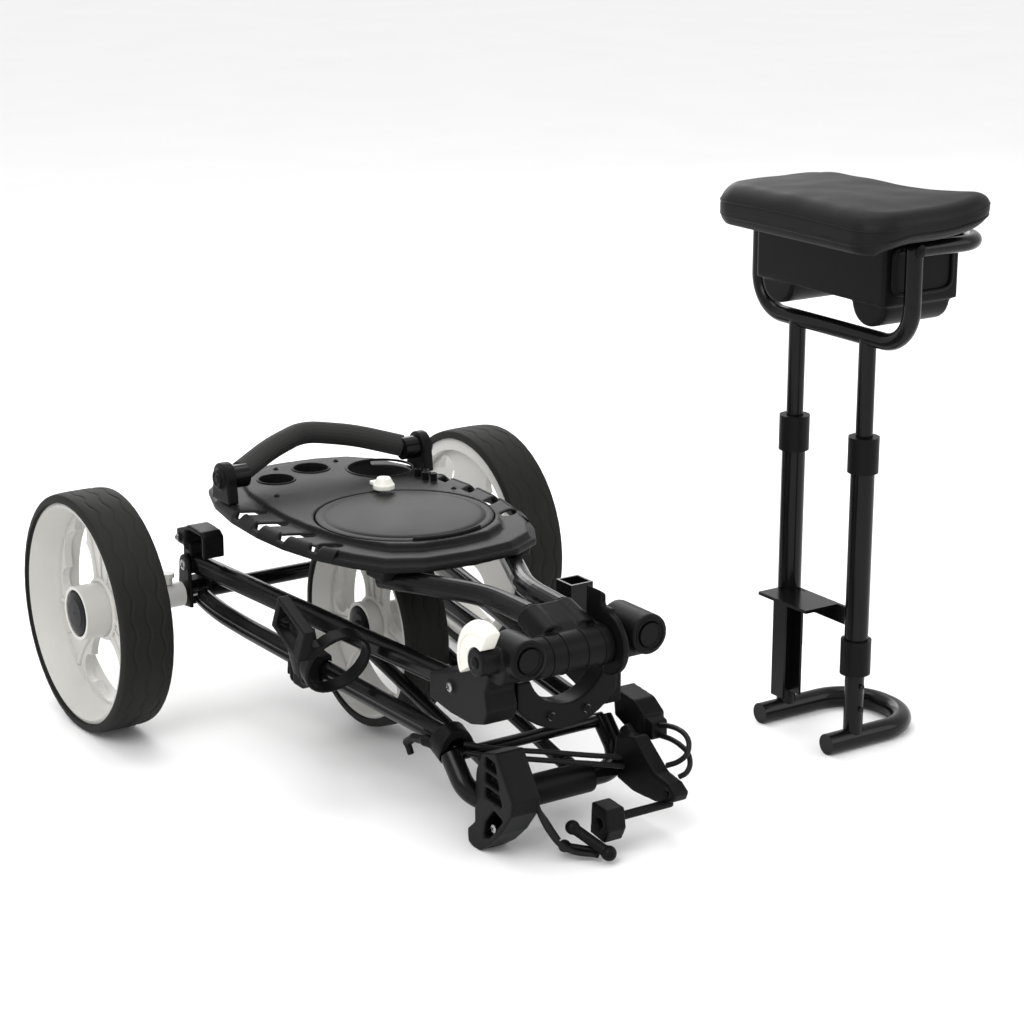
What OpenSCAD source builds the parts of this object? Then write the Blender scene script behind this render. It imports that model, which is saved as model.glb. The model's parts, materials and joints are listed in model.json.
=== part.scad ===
// Three-wheel golf push cart, folded flat, with its clip-on seat standing beside it.
// +X runs along the rear axle, -Y towards the folding head, +Z up; the floor is Z = 0.
// Modules are written about the rear axle: X = 0 on the cart's centre plane, Y = 0 on
// the axle, and on_floor() moves them to the middle of the whole object's footprint.

/* [Rear wheels] */
// Outer radius of the rear tyres
wheel_r = 145; // [135:1:150]
// Half of the distance between the rear wheels' middle planes
track_half = 273; // [268:1:280]
// Half of a rear tyre's width
tyre_half = 33; // [28:1:34]
// Radius of the rim's outer edge
rim_r = 134; // [126:1:136]

/* [Front wheel] */
// Outer radius of the front tyre
front_r = 123.6; // [118:0.2:124]
// Half of the front tyre's width
front_half = 28; // [24:1:29]
// Distance of the front wheel's centre ahead of the rear axle, folded
front_ahead = 193; // [190:1:200]
// Height of the front wheel's centre, folded
front_height = 133; // [128:1:134]

/* [Frame tubes] */
// Height of the oval side tubes' section
side_tube_h = 26; // [22:1:27]
// Width of the oval side tubes' section
side_tube_w = 20; // [17:1:22]
// Diameter of the lower cradle tube
cradle_d = 24; // [20:1:25]
// Diameter of the two handle tubes
handle_d = 25; // [20:1:26]

/* [Folding head] */
// Distance of the handle's hinge axis ahead of the rear axle
hinge_ahead = 605; // [600:1:610]
// Height of the handle's hinge axis
hinge_height = 218; // [214:1:222]
// Radius of the hinge barrel
barrel_r = 22; // [20:1:24]

/* [Console] */
// Height of the console tray's underside
tray_low = 261.5; // [261.5:0.5:264]
// Thickness of the console tray at its middle
tray_thick = 22; // [18:1:24]
// Radius of the cup hole
cup_r = 40; // [36:1:41]
// Radius of the two ball holes
ball_r = 21.5; // [20:0.5:23]

/* [Seat] */
// Distance of the seat posts from the cart's centre plane
seat_x = 432; // [425:1:450]
// Distance of the middle between the posts ahead of the rear axle
seat_ahead = 500; // [480:5:520]
// Half of the distance between the posts
post_half = 62; // [58:1:66]
// Height of the seat tilt bolts
tilt_height = 606; // [600:1:612]

/* [Hidden] */
$fn = 48;

// Middle of the footprint, from the rear axle's middle
middle = [123.25, -265.5];

axle_r = 6;
running_gap = 0.05;
side_height = wheel_r;
pivot_height = 181;
knuckle_y = -561.6;
knuckle_z = 49;
post_r = 10;
outer_r = 14;
leg_r = 11.5;
foot_r = 12.5;
seat_y = -seat_ahead;
tray_top = tray_low + tray_thick;
hinge_y = -hinge_ahead;
cord_r = 3;
cord_sides = 8;

black_paint = [0.03, 0.03, 0.03];
black_plastic = [0.07, 0.07, 0.07];
grey_plastic = [0.17, 0.17, 0.17];
white_plastic = [0.86, 0.85, 0.82];
ivory = [0.92, 0.9, 0.82];
tread_black = [0.09, 0.09, 0.085];
steel = [0.6, 0.6, 0.6];

// ---------- helpers ----------

module on_floor() translate([-middle[0], -middle[1], 0]) children();

// Cylinder along +X from x0 to x1, centred on (y, z)
module bar_x(x0, x1, y, z, r) {
  translate([x0, y, z]) rotate([0, 90, 0]) cylinder(h = x1 - x0, r = r);
}

// Cylinder along +Y from y0 to y1, centred on (x, z)
module bar_y(x, y0, y1, z, r) {
  translate([x, y0, z]) rotate([-90, 0, 0]) cylinder(h = y1 - y0, r = r);
}

// Cylinder between two points
module rod(a, b, r) {
  d = b - a;
  translate(a)
    rotate([0, acos(d[2] / norm(d)), atan2(d[1], d[0])])
      cylinder(h = norm(d), r = r);
}

// A side outline, given as [y, z] points, made solid from x0 to x1
module side_plate(x0, x1, outline) {
  translate([x0, 0, 0])
    rotate([90, 0, 90])
      linear_extrude(x1 - x0) polygon(outline);
}

module mirrored_x() {
  children();
  mirror([1, 0, 0]) children();
}

function unit(v) = v / norm(v);

// Points of a route with each corner rounded to a bend of the given reach
function bend_points(a, b, c, reach, steps) = [
  for (i = [0 : steps])
    let (t = i / steps, p = b + unit(a - b) * reach, q = b + unit(c - b) * reach)
      p * (1 - t) * (1 - t) + b * 2 * t * (1 - t) + q * t * t
];

function rounded_route(points, reach, steps) = concat(
  [points[0]],
  [
    for (i = [1 : len(points) - 2])
      each bend_points(points[i - 1], points[i], points[i + 1], reach, steps)
  ],
  [points[len(points) - 1]]
);

function route_direction(p, i) =
  i == 0 ? unit(p[1] - p[0]) :
  i == len(p) - 1 ? unit(p[i] - p[i - 1]) :
  unit(unit(p[i + 1] - p[i]) + unit(p[i] - p[i - 1]));

// A closed tube that sweeps a section along a route. The section's second axis
// stays as near as it can to the direction called up.
module swept(points, section, up) {
  n = len(section);
  m = len(points);
  vertices = [
    for (i = [0 : m - 1])
      let (t = route_direction(points, i), s = unit(cross(t, up)), u = cross(s, t))
        for (k = [0 : n - 1]) points[i] + s * section[k][0] + u * section[k][1]
  ];
  sides = [
    for (i = [0 : m - 2]) for (k = [0 : n - 1])
      let (a = i * n + k, b = i * n + (k + 1) % n)
        each [[a, a + n, b + n], [a, b + n, b]]
  ];
  start = [[for (k = [0 : n - 1]) k]];
  finish = [[for (k = [n - 1 : -1 : 0]) (m - 1) * n + k]];
  polyhedron(vertices, concat(sides, start, finish), convexity = 6);
}

function round_section(r, sides) =
  [for (k = [0 : sides - 1]) r * [cos(360 * k / sides), sin(360 * k / sides)]];

// Oval section with a shallow groove along each flank
function oval_section(w, h) = [
  for (k = [0 : 23])
    let (a = 15 * k, pinch = k % 12 == 0 ? 0.86 : 1)
      [w / 2 * cos(a) * pinch, h / 2 * sin(a)]
];

module cord(route) {
  swept(route, round_section(cord_r, cord_sides), [0.2, 0.1, 1]);
}

// U-shaped tube in the XY plane: its cross piece is centred on the origin and
// its legs run towards +Y
module u_tube(half_width, leg, bend, r) {
  bar_x(-half_width + bend, half_width - bend, 0, 0, r);
  mirrored_x() {
    translate([half_width - bend, bend, 0])
      rotate([0, 0, -90])
        rotate_extrude(angle = 90) translate([bend, 0]) circle(r);
    bar_y(half_width, bend, leg, 0, r);
  }
}

// ---------- wheels ----------

// Tyre about the X axis, with a rounded tread
module tyre(outer, inner, half) {
  rotate([0, 90, 0])
    rotate_extrude($fn = 96)
      polygon([
        [inner, -half + 3], [inner + 3, -half], [outer - 6, -half + 1.5],
        [outer - 2.5, -half + 8], [outer, -half * 0.45], [outer, half * 0.45],
        [outer - 2.5, half - 8], [outer - 6, half - 1.5], [inner + 3, half],
        [inner, half - 3]
      ]);
}

// Dished rim about the X axis, its open face towards -X. The web stands at
// web_x, and three rounded openings a third of a turn apart leave three spokes.
module rim(outer, half, web_x, bore, hub_r, sleeve_end, sleeve_r) {
  web = 9;
  open_r = (outer - 22.5 - hub_r) / 2;
  open_at = (outer - 11.5 + hub_r) / 2;
  side_r = outer * 0.13;
  side_at = outer - 17.5 - side_r;
  difference() {
    union() {
      rotate([0, 90, 0])
        rotate_extrude($fn = 96)
          polygon([
            [outer - 5, -half], [outer - 0.3, -half + 2.5],
            [outer - 0.3, half - 2.5], [outer - 9, half],
            [outer - 15, half], [outer - 13, web_x - 4]
          ]);
      bar_x(web_x, web_x + web, 0, 0, outer - 10);
      bar_x(-half + 4, web_x + 1, 0, 0, hub_r + 4);
      bar_x(web_x + web - 1, sleeve_end, 0, 0, sleeve_r);
    }
    for (turn = [60, 180, 300]) rotate([turn, 0, 0]) {
      bar_x(web_x - 1, web_x + web + 1, 0, open_at, open_r);
      for (side = [-1, 1])
        rotate([side * 26, 0, 0])
          bar_x(web_x - 1, web_x + web + 1, 0, side_at, side_r);
    }
    bar_x(-half, -half + 12, 0, 0, hub_r);
    bar_x(-half, sleeve_end + 1, 0, 0, bore);
  }
}

module hub_cap(half, hub_r) {
  translate([-half + 8.5, 0, 0])
    rotate([0, -90, 0])
      rotate_extrude()
        polygon([
          [0, -1], [hub_r - 0.4, -1], [hub_r - 0.4, 2], [hub_r - 3, 4.5],
          [hub_r * 0.6, 6.5], [0, 7.2]
        ]);
}

module rear_wheel_place() translate([-track_half, 0, side_height]) children();

module rear_tyre_shape() tyre(wheel_r, rim_r, tyre_half);

module rear_rim_shape() rim(rim_r, tyre_half - 2, 8, axle_r + running_gap, 28.5, 112, 15);

module left_tyre() color(tread_black) on_floor() rear_wheel_place() rear_tyre_shape();

module left_rim() color(white_plastic) on_floor() rear_wheel_place() rear_rim_shape();

module left_hub_cap() color(black_plastic) on_floor() rear_wheel_place() hub_cap(31, 28.5);

module right_tyre()
  color(tread_black) on_floor() mirror([1, 0, 0]) rear_wheel_place() rear_tyre_shape();

module right_rim()
  color(white_plastic) on_floor() mirror([1, 0, 0]) rear_wheel_place() rear_rim_shape();

module right_hub_cap()
  color(black_plastic) on_floor() mirror([1, 0, 0]) rear_wheel_place() hub_cap(31, 28.5);

module front_wheel_place() translate([0, -front_ahead, front_height]) children();

module front_tyre()
  color(tread_black) on_floor() front_wheel_place() tyre(front_r, 112.8, front_half);

// The front rim is dished on both sides, so its web is in the middle
module front_rim()
  color(white_plastic) on_floor() front_wheel_place()
    rim(112.8, front_half - 1, -2, axle_r + running_gap, 24, front_half + 3, 22);

module front_hub_caps()
  color(black_plastic) on_floor() front_wheel_place()
    difference() {
      hub_cap(front_half - 1, 24);
      bar_x(-front_half - 2, 0, 0, 0, axle_r + 1);
    }

// Push button of a wheel's quick release, above the hub sleeve
module release_button() {
  translate([-179, 0, side_height + 15.3]) cylinder(h = 9, r = 6);
  translate([-179, 0, side_height + 24.3]) cylinder(h = 5, r = 8.5);
}

module release_button_left() color(white_plastic) on_floor() release_button();

module release_button_right()
  color(white_plastic) on_floor() mirror([1, 0, 0]) release_button();

// ---------- rear of the frame ----------

module rear_axle()
  color(steel) on_floor() bar_x(-track_half + 12, track_half - 12, 0, side_height, axle_r);

module rear_cross_tube()
  color(black_paint) on_floor()
    difference() {
      bar_x(-126.5, 126.5, 0, side_height, 10);
      bar_x(-127, 127, 0, side_height, axle_r + 1);
    }

// One plate of a bracket: round lobes at the axle and at the pivot bolt, joined
module bracket_plate(x0, x1) {
  bar_x(x0, x1, 0, side_height, 17);
  bar_x(x0, x1, 0, pivot_height, 13);
  side_plate(x0, x1, [
    [-17, 130], [13, 126], [17, 146], [13, 181], [-13, 181]
  ]);
}

module axle_bracket() {
  difference() {
    union() {
      bracket_plate(-157, -152.5);
      bracket_plate(-131, -127);
      side_plate(-152.6, -130.9, [[0, 128], [13, 128], [16, 146], [15, 162], [0, 158]]);
      bar_x(-152.6, -130.9, 0, pivot_height, 4);
    }
    bar_x(-158, -126, 0, side_height, axle_r);
  }
}

module axle_bracket_left() color(black_plastic) on_floor() axle_bracket();

module axle_bracket_right()
  color(black_plastic) on_floor() mirror([1, 0, 0]) axle_bracket();

// C-shaped clip above each bracket, seated on the upper tube's eye, its mouth
// down and forward
module frame_clip() {
  difference() {
    translate([-150.8, -8, 186]) cube([18.1, 20, 22]);
    bar_x(-160, -120, 0, pivot_height, 12.5);
    oval_bar(upper_tube_from, upper_tube_to, side_tube_w, side_tube_h);
  }
  difference() {
    union() {
      bar_x(-155, -127, -15, 214, 20);
      side_plate(-155, -127, [
        [20, 204.2], [21, 222], [-15, 234], [-44, 232], [-52, 226], [-52, 200],
        [-47, 200], [-30, 210], [-5, 204.2]
      ]);
    }
    side_plate(-156, -126, [[0, 186], [-4, 224], [-14, 228], [-46, 227], [-47.5, 186]]);
    bar_x(-160, -120, 0, pivot_height, 15.5);
  }
  bar_x(-158, -154.9, 12, 213, 5);
}

module frame_clips() color(black_plastic) on_floor() mirrored_x() frame_clip();

lower_straight = [[-127, -105, 124], [-90, -497, 103]];
lower_route = rounded_route(
  [[-140, -17.3, 141], [-139, -50, 134], lower_straight[0], lower_straight[1]], 24, 5);

// Clearance cut for a lower side tube, on its straight stretch
module lower_tube_cut()
  oval_bar(lower_straight[0], lower_straight[1], side_tube_w + 0.4, side_tube_h + 0.4);

module lower_tubes()
  color(black_paint) on_floor() mirrored_x() {
    swept(lower_route, oval_section(side_tube_w, side_tube_h), [0, 0, 1]);
    bar_x(-149, -132, -17.5, 141, 3);
  }

upper_tube_from = [-140.5, 0, pivot_height];
upper_tube_to = [-69, -480, 159.5];

// Straight bar of oval section between two points, its long side upright
module oval_bar(a, b, w, h) {
  d = b - a;
  translate(a)
    rotate([0, 0, atan2(d[1], d[0])])
      rotate([0, acos(d[2] / norm(d)), 0])
        linear_extrude(norm(d)) {
          square([h - w, w], center = true);
          for (side = [-1, 1]) translate([side * (h - w) / 2, 0]) circle(d = w);
        }
}

// The upper tubes end in round eyes on the bracket's pivot bolts
module upper_tubes()
  color(black_paint) on_floor() mirrored_x()
    difference() {
      union() {
        oval_bar(upper_tube_from, upper_tube_to, side_tube_w, side_tube_h);
        bar_x(-151.2, -132.3, 0, pivot_height, 12.5);
      }
      bar_x(-160, -125, 0, pivot_height, 4 + running_gap);
      translate([-165, -4, 160]) cube([45, 40, 8]);
      side_plate(-132.2, -120, [[-14, 160], [14, 160], [14, 200], [-14, 200]]);
      side_plate(-165, -151.3, [[-14, 160], [14, 160], [14, 200], [-14, 200]]);
    }

// ---------- lower cradle ----------

// Lays the XY plane of a U tube on the cradle's slope: its cross piece is the
// front fork's hinge pin
module cradle_slope()
  translate([0, knuckle_y, knuckle_z]) rotate([46, 0, 0]) children();

cradle_half = 100;

module cradle_tube()
  color(black_paint) on_floor() {
    cradle_slope() u_tube(cradle_half, 62, 32, cradle_d / 2);
    mirrored_x() bar_x(-104, -76, -512, 93, 5);
    bar_x(-90, 90, -520, 92, 7);
  }

// Clearance cut for the cradle tube
module cradle_cut() cradle_slope() u_tube(cradle_half, 64, 32, cradle_d / 2 + 0.1);

// Ribbed bracket that holds the bag's base and rests on the floor, on the left
module cradle_arm_left()
  color(black_plastic) on_floor()
    difference() {
      side_plate(-98, -62, [
        [-604, 122], [-577, 114], [-566, 92], [-562, 60], [-562, 30], [-548, 18],
        [-549, 3], [-558, 0], [-572, 0], [-590, 12], [-612, 32], [-634, 60], [-637, 76]
      ]);
      cradle_cut();
      for (i = [0 : 2])
        side_plate(-99, -88, [
          [-584, 112 - 17 * i], [-583, 100 - 17 * i],
          [-606 - 5 * i, 98 - 17 * i], [-602 - 5 * i, 110 - 17 * i]
        ]);
      side_plate(-99, -76, [[-600, 56], [-584, 38], [-580, 18], [-592, 22], [-618, 50]]);
      bar_x(-99, -61, -601, 36, 3);
    }

// Plain bracket on the right, with the bag strap's tab
module cradle_arm_right()
  color(black_plastic) on_floor()
    difference() {
      union() {
        side_plate(84, 104, [
          [-566, 92], [-562, 60], [-562, 44], [-600, 36], [-640, 38], [-672, 48],
          [-676, 58], [-664, 66], [-640, 70], [-600, 100]
        ]);
        rod([94, -570, 100], [94, -606, 76], 8);
      }
      cradle_cut();
      bar_x(83, 105, -662, 55, 3);
    }

module band_clamp()
  color(black_plastic) on_floor() {
    difference() {
      translate([0, 0.5, 0.5])
        rod([-92.5, -498, 105.5], [-92.5, -520, 96], 22);
      cradle_cut();
      side_plate(-130, -60, [[-560, 150], [-560, 60], [-521, 60], [-521, 150]]);
      lower_tube_cut();
      rod([-92.5, -496, 106.5], [-92.5, -540, 87], 13);
    }
    rod([-106, -508, 100], [-113, -488, 102], 6);
    rod([-113, -488, 102], [-113, -464, 98], 5);
    rod([-113, -464, 98], [-113, -450, 88], 5);
    rod([-113, -450, 88], [-113, -458, 76], 4);
    translate([-113, -488, 102]) sphere(6.5);
    translate([-113, -464, 98]) sphere(5.2);
    translate([-113, -450, 88]) sphere(5.2);
  }

// Block on the right leg that the elastic cord's loops run through
module cord_block()
  color(black_plastic) on_floor() {
    side_plate(112.5, 142, [
      [-520, 128], [-524, 96], [-572, 78], [-580, 84], [-578, 112], [-560, 124]
    ]);
    side_plate(116, 138, [[-579, 84], [-590, 86], [-590, 106], [-578, 110]]);
  }

module cord_toggle()
  color(black_plastic) on_floor() {
    bar_x(24, 96, -655, 40, 5);
    difference() {
      side_plate(0, 24, [
        [-640, 58], [-638, 22], [-664, 18], [-672, 34], [-668, 56]
      ]);
      bar_x(-1, 18, -655, 38, 6);
    }
  }

module cord_hooks()
  color(black_plastic) on_floor() {
    rod([-24, -640, 34], [-2, -676, 12], 6);
    translate([-24, -640, 34]) sphere(8);
    translate([-2, -676, 12]) sphere(8.5);
    rod([-30, -634, 12], [-2, -662, 9], 4);
    translate([-30, -634, 12]) sphere(7);
  }

// Elastic cords, held at both ends
cross_upper_route = [
  [-86, -523, 104], [-60, -541, 99], [-34, -553, 95], [-8, -560, 90],
  [20, -567, 84], [48, -574, 78], [80, -583, 72]
];
cross_lower_route = [
  [-86, -523, 94], [-60, -545, 90], [-34, -558, 87], [-8, -566, 82],
  [20, -573, 76], [48, -579, 70], [80, -588, 63]
];
drop_outer_route = [
  [-58, -588, 112], [-58, -600, 98], [-58, -611, 80], [-57, -620, 62],
  [-54, -628, 45], [-48, -635, 30], [-40, -641, 18], [-28, -650, 10],
  [-14, -660, 8], [-11, -668, 9]
];
drop_inner_route = [
  [-58, -581, 102], [-57, -590, 84], [-55, -600, 67], [-50, -610, 52],
  [-44, -619, 39], [-39, -626, 27], [-36, -632, 19]
];
loop_upper_route = [
  [127, -591, 102], [127, -606, 106], [125, -624, 109], [122, -642, 109],
  [117, -656, 104], [111, -660, 94], [106, -652, 84], [100, -640, 77]
];
loop_lower_route = [
  [127, -591, 90], [127, -610, 92], [125, -630, 92], [122, -648, 89],
  [116, -660, 82], [110, -662, 74], [105, -656, 68]
];

module cord_cross_upper() color(black_plastic) on_floor() cord(cross_upper_route);

module cord_cross_lower() color(black_plastic) on_floor() cord(cross_lower_route);

module cord_drop_outer() color(black_plastic) on_floor() cord(drop_outer_route);

module cord_drop_inner() color(black_plastic) on_floor() cord(drop_inner_route);

module cord_loop_upper() color(black_plastic) on_floor() cord(loop_upper_route);

module cord_loop_lower() color(black_plastic) on_floor() cord(loop_lower_route);

// ---------- bottle holder ----------

bottle_at = [-150, -359, 163];
bottle_tilt = 24;
bottle_r = 36.5;
stub_from = [-136, -252, 118];
stub_mid = [-160, -284, 160];
stub_to = [-189, -322.7, 210.75];

module bottle_clamp()
  color(black_plastic) on_floor() {
    difference() {
      side_plate(-140, -104, [
        [-230, 138], [-226, 106], [-238, 98], [-262, 97], [-272, 106], [-270, 134]
      ]);
      lower_tube_cut();
      for (y = [-240, -232]) side_plate(-141, -137, [[y, 140], [y, 95], [y + 3, 95], [y + 3, 140]]);
    }
    rod(stub_from, stub_mid, 9);
  }

// Window plate, hook and bottle ring, moulded as one on the clamp's stub
module bottle_ring()
  color(black_plastic) on_floor() {
    rod(stub_mid, stub_to, 8);
    translate(bottle_at) rotate([bottle_tilt, 0, 0]) {
      difference() {
        union() {
          bar_y(0, -8, 8, 0, bottle_r + 4.5);
          translate([-52, -4, 12]) cube([14, 66, 42]);
          translate([-44, -4, 12]) cube([16, 11, 18]);
        }
        bar_y(0, -10, 10, 0, bottle_r);
        translate([-53, 10, 19]) cube([20, 44, 28]);
      }
      rod([-12, 0, -38.5], [-14, 26, -48], 4);
      translate([-14, 26, -48]) sphere(6);
    }
  }

// ---------- folding head ----------

boss_x = 77;
boss_z = 230;
boss_r = 22.5;
boss_front = -637;

// One side of the head: housing for the upper tube, and the round boss
module head_side() {
  difference() {
    union() {
      side_plate(-103, -64, [
        [-481, 178], [-481, 148], [-520, 143], [-562, 142], [-590, 150],
        [-597, 166], [-592, 186], [-600, 206], [-588, 220], [-560, 205], [-520, 190]
      ]);
      bar_y(-boss_x, boss_front, -590, boss_z, boss_r);
      bar_x(-99, -56, hinge_y, hinge_height, 20);
    }
    bar_y(-boss_x, boss_front - 1, boss_front + 4, boss_z, 14);
    bar_x(-90, -50, hinge_y, hinge_height, 12);
  }
}

module head_left()
  color(black_plastic) on_floor() {
    head_side();
    bar_x(-124, -98.9, hinge_y, 228, 15.5);
    bar_x(-106, -102.9, -527, 174, 6);
  }

// The right side is slimmer: its housing stays behind the saddle
module head_right()
  color(black_plastic) on_floor()
    difference() {
      union() {
        side_plate(64, 86, [
          [-481, 178], [-481, 150], [-548, 130], [-574, 134], [-574, 204], [-560, 205],
          [-520, 190]
        ]);
        bar_y(boss_x, boss_front, -574, boss_z, boss_r);
        bar_x(56, 90, hinge_y, hinge_height, 20);
      }
      bar_y(boss_x, boss_front - 1, boss_front + 4, boss_z, 14);
      bar_x(50, 90, hinge_y, hinge_height, 12);
    }

// Half-round saddle below the hinge barrel, where the bag's top rests
module bag_saddle()
  color(black_plastic) on_floor() {
    difference() {
      union() {
        bar_y(0, -596, -568, 207, 79);
        translate([41, 0, 0]) bar_x(0, 8, hinge_y, hinge_height, 35);
      }
      bar_y(0, -600, -560, 207, 51);
      translate([-90, -600, 190]) cube([131, 60, 120]);
      translate([49, -600, 185]) cube([60, 60, 120]);
      translate([-100, -660, 100]) cube([36.3, 120, 160]);
      translate([63.7, -660, 100]) cube([36.3, 120, 160]);
      bar_x(30, 60, hinge_y, hinge_height, 12);
    }
    translate([42, hinge_y - 7, hinge_height + 33]) cube([7, 14, 7]);
  }

module hinge_bolt()
  color(steel) on_floor() bar_x(-89.5, 89.5, hinge_y, hinge_height, 11.95);

module hinge_caps()
  color(black_plastic) on_floor() mirrored_x()
    bar_y(-boss_x, boss_front - 0.5, boss_front + 3.9, boss_z, 13.5);

module head_screws()
  color(steel) on_floor() mirrored_x() bar_y(-23, -599, -596.1, 146, 4.5);

// Square socket that the seat's hanger drops into
socket_x = 118;
socket_y = -437;

module seat_socket()
  color(black_paint) on_floor() {
    difference() {
      translate([socket_x - 15, socket_y - 15, 150]) cube([30, 30, 80]);
      translate([socket_x - 12.5, socket_y - 12.5, 140]) cube([25, 25, 100]);
    }
    translate([86.5, socket_y - 12, 152]) cube([16.6, 24, 22]);
  }

// ---------- handle ----------

handle_end = [-84, -350, 246];
handle_bend = [-24, -478, 248.5];
handle_route = rounded_route([handle_end, handle_bend, [-21, -553, 247]], 34, 5);

module handle_bracket()
  color(black_plastic) on_floor()
    difference() {
      union() {
        bar_x(-53.5, 40.5, hinge_y, hinge_height, barrel_r);
        mirrored_x() rod([-21, -552, 246], [-21, -594, 232], 15.5);
        side_plate(-21, 21, [
          [-553, 258], [-553, 234], [-590, 218], [-606, 238], [-590, 246]
        ]);
      }
      bar_x(-60, 60, hinge_y, hinge_height, 12);
    }

module handle_tubes()
  color(black_paint) on_floor() mirrored_x()
    swept(handle_route, round_section(handle_d / 2, 20), [0, 0, 1]);

// The console's outline, drawn as its right half
half_outline = [
  [0, 50], [50, 46], [92, 32], [118, 4], [138, -50], [151, -120], [155, -190],
  [152, -246], [141, -302], [122, -350], [100, -386], [60, -408], [0, -414]
];

function outline(points) =
  concat(points, [for (i = [len(points) - 2 : -1 : 1]) [-points[i][0], points[i][1]]]);

function inset(points, d) =
  [for (p = points) [p[0] * (1 - d / 158), -188 + (p[1] + 188) * (1 - d / 238)]];

cup_at = [80, -72];
ball_at = [[-52, -48], [8, -26]];
// Each slot's X, Y and half of its straight length
slot_rows = [[134, -135, 12], [135, -190, 12], [131, -246, 12], [120, -300, 7]];

module console_holes() {
  translate([cup_at[0], cup_at[1], 200]) cylinder(h = 120, r = cup_r);
  for (b = ball_at) translate([b[0], b[1], 200]) cylinder(h = 120, r = ball_r);
  mirrored_x()
    for (slot = slot_rows)
      translate([slot[0], slot[1], 200])
        rotate([0, 0, 28]) {
          translate([-slot[2], -7, 0]) cube([2 * slot[2], 14, 120]);
          for (x = [-1, 1]) translate([x * slot[2], 0, 0]) cylinder(h = 120, r = 7);
        }
}

// Hollow under the slots on one side, which ends at the given Y
module under_hollow(rear_y)
  translate([0, 0, tray_low - 1])
    linear_extrude(12.5)
      polygon([
        [108, -322], [126, -322], [137, -298], [147, -246], [150, -190], [146, -120],
        [132, rear_y], [108, rear_y]
      ]);

module console_tray()
  color(grey_plastic) on_floor()
    difference() {
      union() {
        translate([0, 0, tray_low]) linear_extrude(8) polygon(outline(half_outline));
        translate([0, 0, tray_low + 8])
          linear_extrude(7) polygon(outline(inset(half_outline, 8)));
        translate([0, 0, tray_low + 15])
          linear_extrude(tray_thick - 15) polygon(outline(inset(half_outline, 40)));
        mirrored_x()
          side_plate(-98, -64, [
            [-340, 248], [-376, 248], [-382, tray_low + 1], [-334, tray_low + 1]
          ]);
      }
      console_holes();
      translate([0, -262, tray_low + 4]) cylinder(h = 60, r = 104.5, $fn = 96);
      under_hollow(-119);
      mirror([1, 0, 0]) under_hollow(-62);
      mirrored_x() rod(handle_end, handle_bend, handle_d / 2 + 0.1);
    }

module console_lid()
  color(grey_plastic) on_floor()
    translate([0, -262, tray_low + 14]) {
      cylinder(h = 8, r = 104, $fn = 96);
      translate([0, 0, 8]) cylinder(h = 3, r1 = 104, r2 = 98, $fn = 96);
    }

module lid_latch()
  color(ivory) on_floor()
    translate([27, -170, tray_top + 3.05]) {
      cylinder(h = 3, r = 9);
      translate([0, 0, 2]) cylinder(h = 6, r = 13);
      translate([0, 0, 8]) cylinder(h = 8, r1 = 12, r2 = 8);
      translate([-5, 0, 2]) cube([10, 26, 5]);
    }

grip_y = -76;
grip_z = 305;

// Upright ears that carry the grip's pivots, and the horns behind them
module grip_housings()
  color(black_plastic) on_floor() mirrored_x() {
    difference() {
      union() {
        side_plate(-142, -128.5, [
          [-52, tray_low + 15.1], [-98, tray_low + 15.1], [-94, 305], [-58, 305]
        ]);
        bar_x(-142, -128.5, grip_y, grip_z, 19);
        bar_x(-146, -141.9, grip_y, grip_z, 12);
      }
      bar_x(-139, -127, grip_y, grip_z, 6 + running_gap);
    }
  }

grip_route = rounded_route([
  [-112, -70, 307], [-58, -46, 323], [0, -22, 331], [58, -46, 323], [112, -70, 307]
], 22, 5);

module grip_tube()
  color(black_paint) on_floor() {
    mirrored_x() bar_x(-138.5, -110, grip_y, grip_z, 6);
    mirrored_x() bar_x(-128.1, -108, grip_y, grip_z, 14);
  }

module grip_foam()
  color(black_plastic) on_floor()
    difference() {
      swept(grip_route, round_section(13.5, 20), [0, 0, 1]);
      mirrored_x() bar_x(-129, -107.9, grip_y, grip_z, 14.1);
    }

module tee_holder()
  color(black_plastic) on_floor()
    for (i = [0 : 3])
      translate([100 + 6 * (i % 2), -128 - 9 * i, tray_top])
        difference() {
          cylinder(h = 9, r = 4.2);
          translate([0, 0, 2]) cylinder(h = 9, r = 2.4);
        }

// Ivory crescent that locks the fold, wrapped round the rear of the left stub
module fold_latch()
  color(ivory) on_floor()
    translate([-123, hinge_y, 228])
      rotate([0, 90, 0])
        rotate([0, 0, 58])
          rotate_extrude(angle = 152)
            polygon([[16.2, 0], [36, 0], [42, 4], [44, 10], [42, 16], [38, 19], [16.2, 19]]);

// ---------- front fork ----------

module fork_legs()
  color(black_paint) on_floor() mirrored_x()
    difference() {
      rod([-41, -front_ahead, front_height], [-41, -547, 52.2], 8);
      bar_x(-60, -20, -front_ahead, front_height, axle_r);
    }

module fork_knuckle()
  color(black_plastic) on_floor()
    difference() {
      union() {
        bar_x(-52, 52, knuckle_y, knuckle_z, 17.5);
        mirrored_x() rod([-41, -532, 55.6], [-41, -552, 51], 11);
      }
      bar_x(-60, 60, knuckle_y, knuckle_z, cradle_d / 2 + running_gap);
      mirrored_x() rod([-41, -front_ahead, front_height], [-41, -547, 52.2], 8.02);
    }

module front_axle()
  color(steel) on_floor() bar_x(-53, 53, -front_ahead, front_height, axle_r);

// ---------- seat ----------

module seat_place() translate([seat_x, seat_y, 0]) children();

module both_posts() for (side = [-1, 1]) translate([0, side * post_half, 0]) children();

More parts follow.
